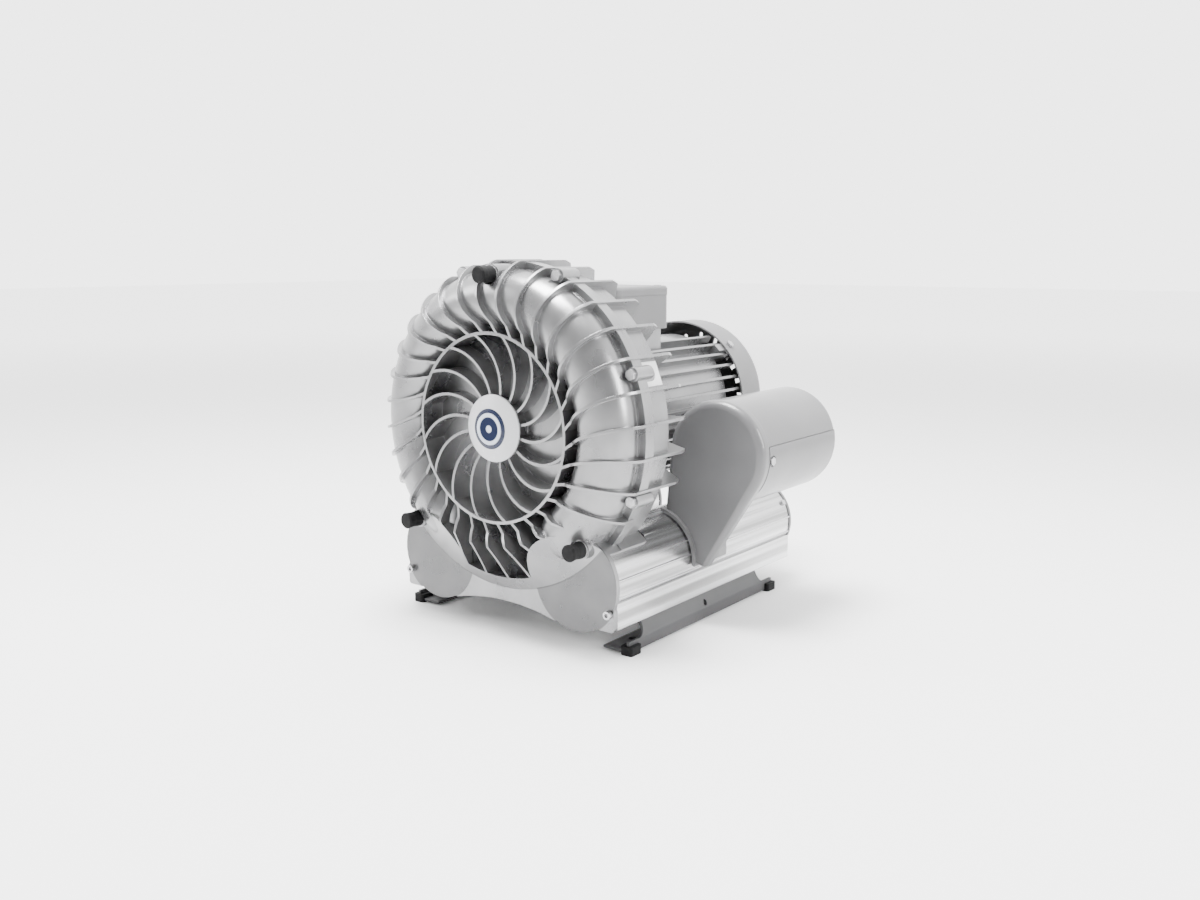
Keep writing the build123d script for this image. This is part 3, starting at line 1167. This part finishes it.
def duct_outline(inset):
    """Front view of the duct between canister and silencer, behind the hood's face."""
    top = Pos(FILTER_X - DUCT_TOP_INWARD, -FILTER_BELOW_SHAFT - DUCT_TOP_DROP)
    low = Pos(TUBE_X + DUCT_LOW_PAST_TUBE, DUCT_LOW_ABOVE_TUBE - TUBE_BELOW_SHAFT)
    return hull_of([top * Circle(DUCT_TOP_RADIUS - inset), low * Circle(DUCT_LOW_RADIUS - inset)])


def service_region(gap):
    """Region that the service cover takes out of the canister: the lower rear, and a side tongue."""
    reach = 2 * FILTER_RADIUS
    top = FILTER_Z + SERVICE_SPLIT_ABOVE - gap
    rear = block(FILTER_X - reach, FILTER_X + reach, SERVICE_SPLIT_Y + gap, FILTER_REAR_Y + reach,
                 FILTER_Z - reach, top)
    tongue = block(FILTER_X + SERVICE_SIDE_PAST + gap, FILTER_X + reach, FILTER_FRONT_Y + HOOD_DEPTH + gap,
                   FILTER_REAR_Y + reach, FILTER_Z - reach, top)
    return rear + tongue


def screw_plane(inward):
    """Plane across the service screw's axis, inward from the canister's side and facing out."""
    return Plane(origin=(FILTER_X + FILTER_RADIUS - inward, SERVICE_SCREW_Y, SERVICE_SCREW_Z),
                 z_dir=(1, 0, 0))


def service_screw_hole(radius):
    return extrude(screw_plane(SERVICE_SCREW_LENGTH + 1) * Circle(radius), amount=SERVICE_SCREW_LENGTH + 3)


def screw_lug():
    """Lug inside the hood that the service screw goes into."""
    half = SERVICE_SPOT_RADIUS
    outer_x = FILTER_X + FILTER_RADIUS - FILTER_WALL - 5 * FIT_CLEARANCE
    return block(outer_x - 2 * half, outer_x, FILTER_FRONT_Y + FILTER_WALL / 2, SERVICE_SCREW_Y + half,
                 SERVICE_SCREW_Z - half, SERVICE_SCREW_Z + half)


def filter_housing():
    """Upper canister shell with the teardrop hood that leads down into the right silencer."""
    duct = prism(duct_outline(0), FILTER_FRONT_Y + HOOD_EDGE_ROUND, DUCT_REAR_Y)
    collar = tube(TUBE_RADIUS + DUCT_COLLAR, TUBE_RADIUS, FILTER_FRONT_Y - DUCT_COLLAR_AHEAD, DUCT_REAR_Y,
                  TUBE_X, TUBE_Z)
    collar &= prism(hood_outline(-DUCT_COLLAR / 2), FILTER_FRONT_Y - DUCT_COLLAR_AHEAD, DUCT_REAR_Y)
    body = canister_body(0, FILTER_FRONT_Y + HOOD_EDGE_ROUND) + hood_shell() + duct + collar
    body -= rod(FILTER_RADIUS - FILTER_WALL, FILTER_FRONT_Y + FILTER_WALL, FILTER_REAR_Y - FILTER_WALL,
                FILTER_X, FILTER_Z)
    body -= prism(duct_outline(FILTER_WALL), FILTER_FRONT_Y + FILTER_WALL, DUCT_REAR_Y - FILTER_WALL)
    body -= service_region(0)
    body += screw_lug()
    body -= service_screw_hole(SERVICE_SCREW_RADIUS)
    body -= rod(TUBE_RADIUS + 5 * FIT_CLEARANCE, FILTER_FRONT_Y - FILTER_RADIUS, FILTER_REAR_Y, TUBE_X,
                TUBE_Z)
    return body - rod(GRILLE_RADIUS, FILTER_REAR_Y - 2 * FILTER_WALL, FILTER_REAR_Y + 1, FILTER_X, FILTER_Z)


def filter_service_cover():
    """Lower rear shell that comes off to change the cartridge, with a tongue forward to its screw."""
    body = canister_body(SERVICE_COVER_PROUD, FILTER_FRONT_Y)
    body -= rod(FILTER_RADIUS - FILTER_WALL, FILTER_FRONT_Y, FILTER_REAR_Y - FILTER_WALL, FILTER_X, FILTER_Z)
    body -= rod(GRILLE_RADIUS, FILTER_REAR_Y - 2 * FILTER_WALL, FILTER_REAR_Y + 1, FILTER_X, FILTER_Z)
    body &= service_region(FIT_CLEARANCE)
    body -= service_screw_hole(SERVICE_SCREW_RADIUS + FIT_CLEARANCE)
    spot = screw_plane(SERVICE_SPOT_DEPTH - SERVICE_COVER_PROUD) * Circle(SERVICE_SPOT_RADIUS)
    return body - extrude(spot, amount=2 * SERVICE_SPOT_DEPTH)


def intake_grille():
    """Slotted plate in the canister's rear end, where the air comes in."""
    plate = rod(GRILLE_RADIUS - FIT_CLEARANCE, FILTER_REAR_Y - FILTER_WALL, FILTER_REAR_Y, FILTER_X, FILTER_Z)
    slots = []
    for row in range(-3, 4):
        height = row * GRILLE_RADIUS / 4
        width = 2 * sqrt(GRILLE_RADIUS**2 - height**2) - 16.0
        slot = front_plane(FILTER_REAR_Y - 2 * FILTER_WALL, FILTER_X, FILTER_Z + height) * (
            SlotOverall(width, 6.0))
        slots.append(extrude(slot, amount=-3 * FILTER_WALL))
    return plate - slots


def filter_cartridge():
    """Pleated paper element between two end discs."""
    pleats = 24
    outer = FILTER_RADIUS - FILTER_WALL - 6
    inner = outer - 12
    points = []
    for i in range(2 * pleats):
        radius = outer if i % 2 else inner + 2
        points.append(polar(radius, 180.0 * i / pleats))
    star = make_face(Polyline(*points, close=True)) - Circle(inner)
    front = SERVICE_SPLIT_Y - 20
    rear = FILTER_REAR_Y - FILTER_WALL - 6
    paper = prism(star, front + 4, rear - 4, FILTER_X, FILTER_Z)
    seat = FILTER_RADIUS - FILTER_WALL - FIT_CLEARANCE
    discs = tube(seat, inner - 4, front, front + 4, FILTER_X, FILTER_Z)
    discs += rod(seat, rear - 4, rear, FILTER_X, FILTER_Z)
    return paper + discs


def service_screw():
    screw = hexagon_screw(SERVICE_SCREW_RADIUS - RUNNING_CLEARANCE, SERVICE_SCREW_RADIUS,
                          SERVICE_SCREW_LENGTH)
    return screw_plane(SERVICE_SPOT_DEPTH - SERVICE_COVER_PROUD).location * screw


# Foot brackets ------------------------------------------------------------------------------
def foot_section():
    """Middle line of the folded sheet, as seen from the front on the right side."""
    half = SHEET / 2
    return [
        (RAIL_OUTER_X - RAIL_WIDTH, FOOT_RAIL_HEIGHT - half),
        (RAIL_OUTER_X - 1, FOOT_RAIL_HEIGHT - half),
        (FOOT_LIP_X - half, FOOT_LIP_HEIGHT),
        (FOOT_LIP_X - half, half),
        (FOOT_LIP_X - FOOT_FLANGE_WIDTH, half),
    ]


def foot_bracket(side):
    line = Polyline(*foot_section())
    sheet = offset(line, amount=SHEET / 2, side=Side.BOTH, kind=Kind.INTERSECTION)
    face = make_face(sheet) if not isinstance(sheet, Face) else sheet
    body = prism(face, -FOOT_LENGTH / 2, FOOT_LENGTH / 2, 0, 0)
    notch = (FOOT_LENGTH - FOOT_WEB_LENGTH) / 2
    for end in SIDES:
        y = end * FOOT_LENGTH / 2
        cut = Plane(origin=(0, 0, 0), x_dir=(0, 1, 0), z_dir=(1, 0, 0)) * Pos(y, FOOT_LIP_HEIGHT + notch) * (
            RectangleRounded(2 * notch, 2 * notch, notch * 0.4))
        body -= extrude(cut, amount=2 * FOOT_LIP_X)
    bolt = Pos(FOOT_BOLT_X, 0, 0) * extrude(Circle(FOOT_HOLE_RADIUS), amount=SHEET)
    t_hole = Pos(RAIL_MIDDLE_X, 0, FOOT_RAIL_HEIGHT - SHEET) * extrude(
        Circle(T_BOLT_RADIUS + FIT_CLEARANCE), amount=SHEET)
    web_hole = Plane(origin=(RAIL_OUTER_X - 6, 0, (FOOT_RAIL_HEIGHT + FOOT_LIP_HEIGHT) / 2 - 2),
                     z_dir=(1, 0, 0))
    body -= extrude(web_hole * Circle(3.2), amount=20)
    for end in SIDES:
        body -= Pos(0, end * FOOT_BOLT_SPACING_Y / 2, 0) * bolt
        body -= Pos(0, end * T_BOLT_Y, 0) * t_hole
    return body if side > 0 else mirror(body, Plane.YZ)


def foot_t_bolts():
    """T-bolts from the rails' slots down through the brackets."""
    bolts = []
    x = RAIL_MIDDLE_X
    grip = SHEET + NUT_HEIGHT + 1
    for side in SIDES:
        for end in SIDES:
            head = block(-T_SLOT_HEAD / 2 + 0.5, T_SLOT_HEAD / 2 - 0.5, -T_BOLT_RADIUS, T_BOLT_RADIUS,
                         SHEET, SHEET + 4.5)
            shank = (extrude(Circle(T_BOLT_RADIUS), amount=SHEET)
                     + extrude(Circle(T_BOLT_RADIUS), amount=-grip))
            bolts.append(Pos(side * x, end * T_BOLT_Y, FOOT_RAIL_HEIGHT) * (head + shank))
    return bolts


def foot_nuts():
    nuts = []
    x = RAIL_MIDDLE_X
    for side in SIDES:
        for end in SIDES:
            nut = extrude(RegularPolygon(T_BOLT_RADIUS * 1.9, 6) - Circle(T_BOLT_RADIUS + PRESS_CLEARANCE),
                          amount=-NUT_HEIGHT)
            nuts.append(Pos(side * x, end * T_BOLT_Y, FOOT_RAIL_HEIGHT - SHEET) * nut)
    return nuts


def foot_pads():
    """Rubber pads clipped over the ends of the brackets' lips."""
    pads = []
    for side in SIDES:
        bracket = foot_bracket(side)
        for end in SIDES:
            x = side * (FOOT_LIP_X - PAD_WIDTH / 2 + 5)
            y = end * (FOOT_LENGTH / 2 - PAD_LENGTH / 2 + 3)
            pad = Pos(x, y, PAD_HEIGHT / 2 - PAD_BELOW) * Box(PAD_WIDTH, PAD_LENGTH, PAD_HEIGHT)
            pad = fillet(pad.edges().filter_by(Axis.Z), 3.0)
            pads.append(pad - bracket)
    return pads


# Assembly -----------------------------------------------------------------------------------
def build_all():
    parts["front_cover"] = front_cover()
    parts["blower_housing"] = blower_housing()
    parts["cover_gasket"] = cover_gasket()
    parts["cover_bolts"] = cover_bolts()
    parts["hub_cap"] = hub_cap()
    parts["cap_badge"] = cap_badge()
    parts["front_buffers"] = front_buffers()
    parts["buffer_studs"] = buffer_studs()
    parts["ear_bolts"] = ear_bolts()
    parts["impeller"] = impeller()
    parts["shaft"] = shaft()
    parts["impeller_key"] = key_block(-RUNNING_CLEARANCE)
    parts["impeller_nut"] = impeller_nut()
    parts["impeller_washer"] = impeller_washer()
    parts["shaft_seal"] = shaft_seal()
    parts["front_bearing_outer"] = bearing_outer(FRONT_BEARING_Y)
    parts["front_bearing_inner"] = bearing_inner(FRONT_BEARING_Y)
    parts["rear_bearing_outer"] = bearing_outer(REAR_BEARING_Y)
    parts["rear_bearing_inner"] = bearing_inner(REAR_BEARING_Y)
    parts["rotor_core"] = rotor_core()
    parts["cooling_fan"] = cooling_fan()
    parts["motor_frame"] = motor_frame()
    parts["stator_core"] = stator_core()
    parts["stator_windings"] = stator_windings()
    parts["rear_end_shield"] = rear_end_shield()
    parts["fan_cowl"] = fan_cowl()
    parts["cowl_screws"] = cowl_screws()
    parts["terminal_box_base"] = terminal_box_base()
    parts["terminal_box_lid"] = terminal_box_lid()
    parts["lid_screws"] = lid_screws()
    parts["terminal_board"] = terminal_board()
    parts["cable_gland"] = cable_gland()
    for name, side in (("left", -1), ("right", 1)):
        parts[f"silencer_tube_{name}"] = silencer_tube(side)
        parts[f"silencer_liner_{name}"] = silencer_liner(side)
        parts[f"foot_bracket_{name}"] = foot_bracket(side)
    parts["silencer_end_cap"] = silencer_end_cap()
    parts["outlet_flange"] = outlet_flange()
    parts["silencer_end_screws"] = silencer_end_screws()
    parts["filter_housing"] = filter_housing()
    parts["filter_service_cover"] = filter_service_cover()
    parts["intake_grille"] = intake_grille()
    parts["filter_cartridge"] = filter_cartridge()
    parts["service_screw"] = service_screw()
    parts["foot_t_bolts"] = foot_t_bolts()
    parts["foot_nuts"] = foot_nuts()
    parts["foot_pads"] = foot_pads()


build_all()
os.makedirs("parts", exist_ok=True)
for name, shape in parts.items():
    solid = Compound(shape) if isinstance(shape, list) else shape
    export_step(solid, os.path.join("parts", name + ".step"))
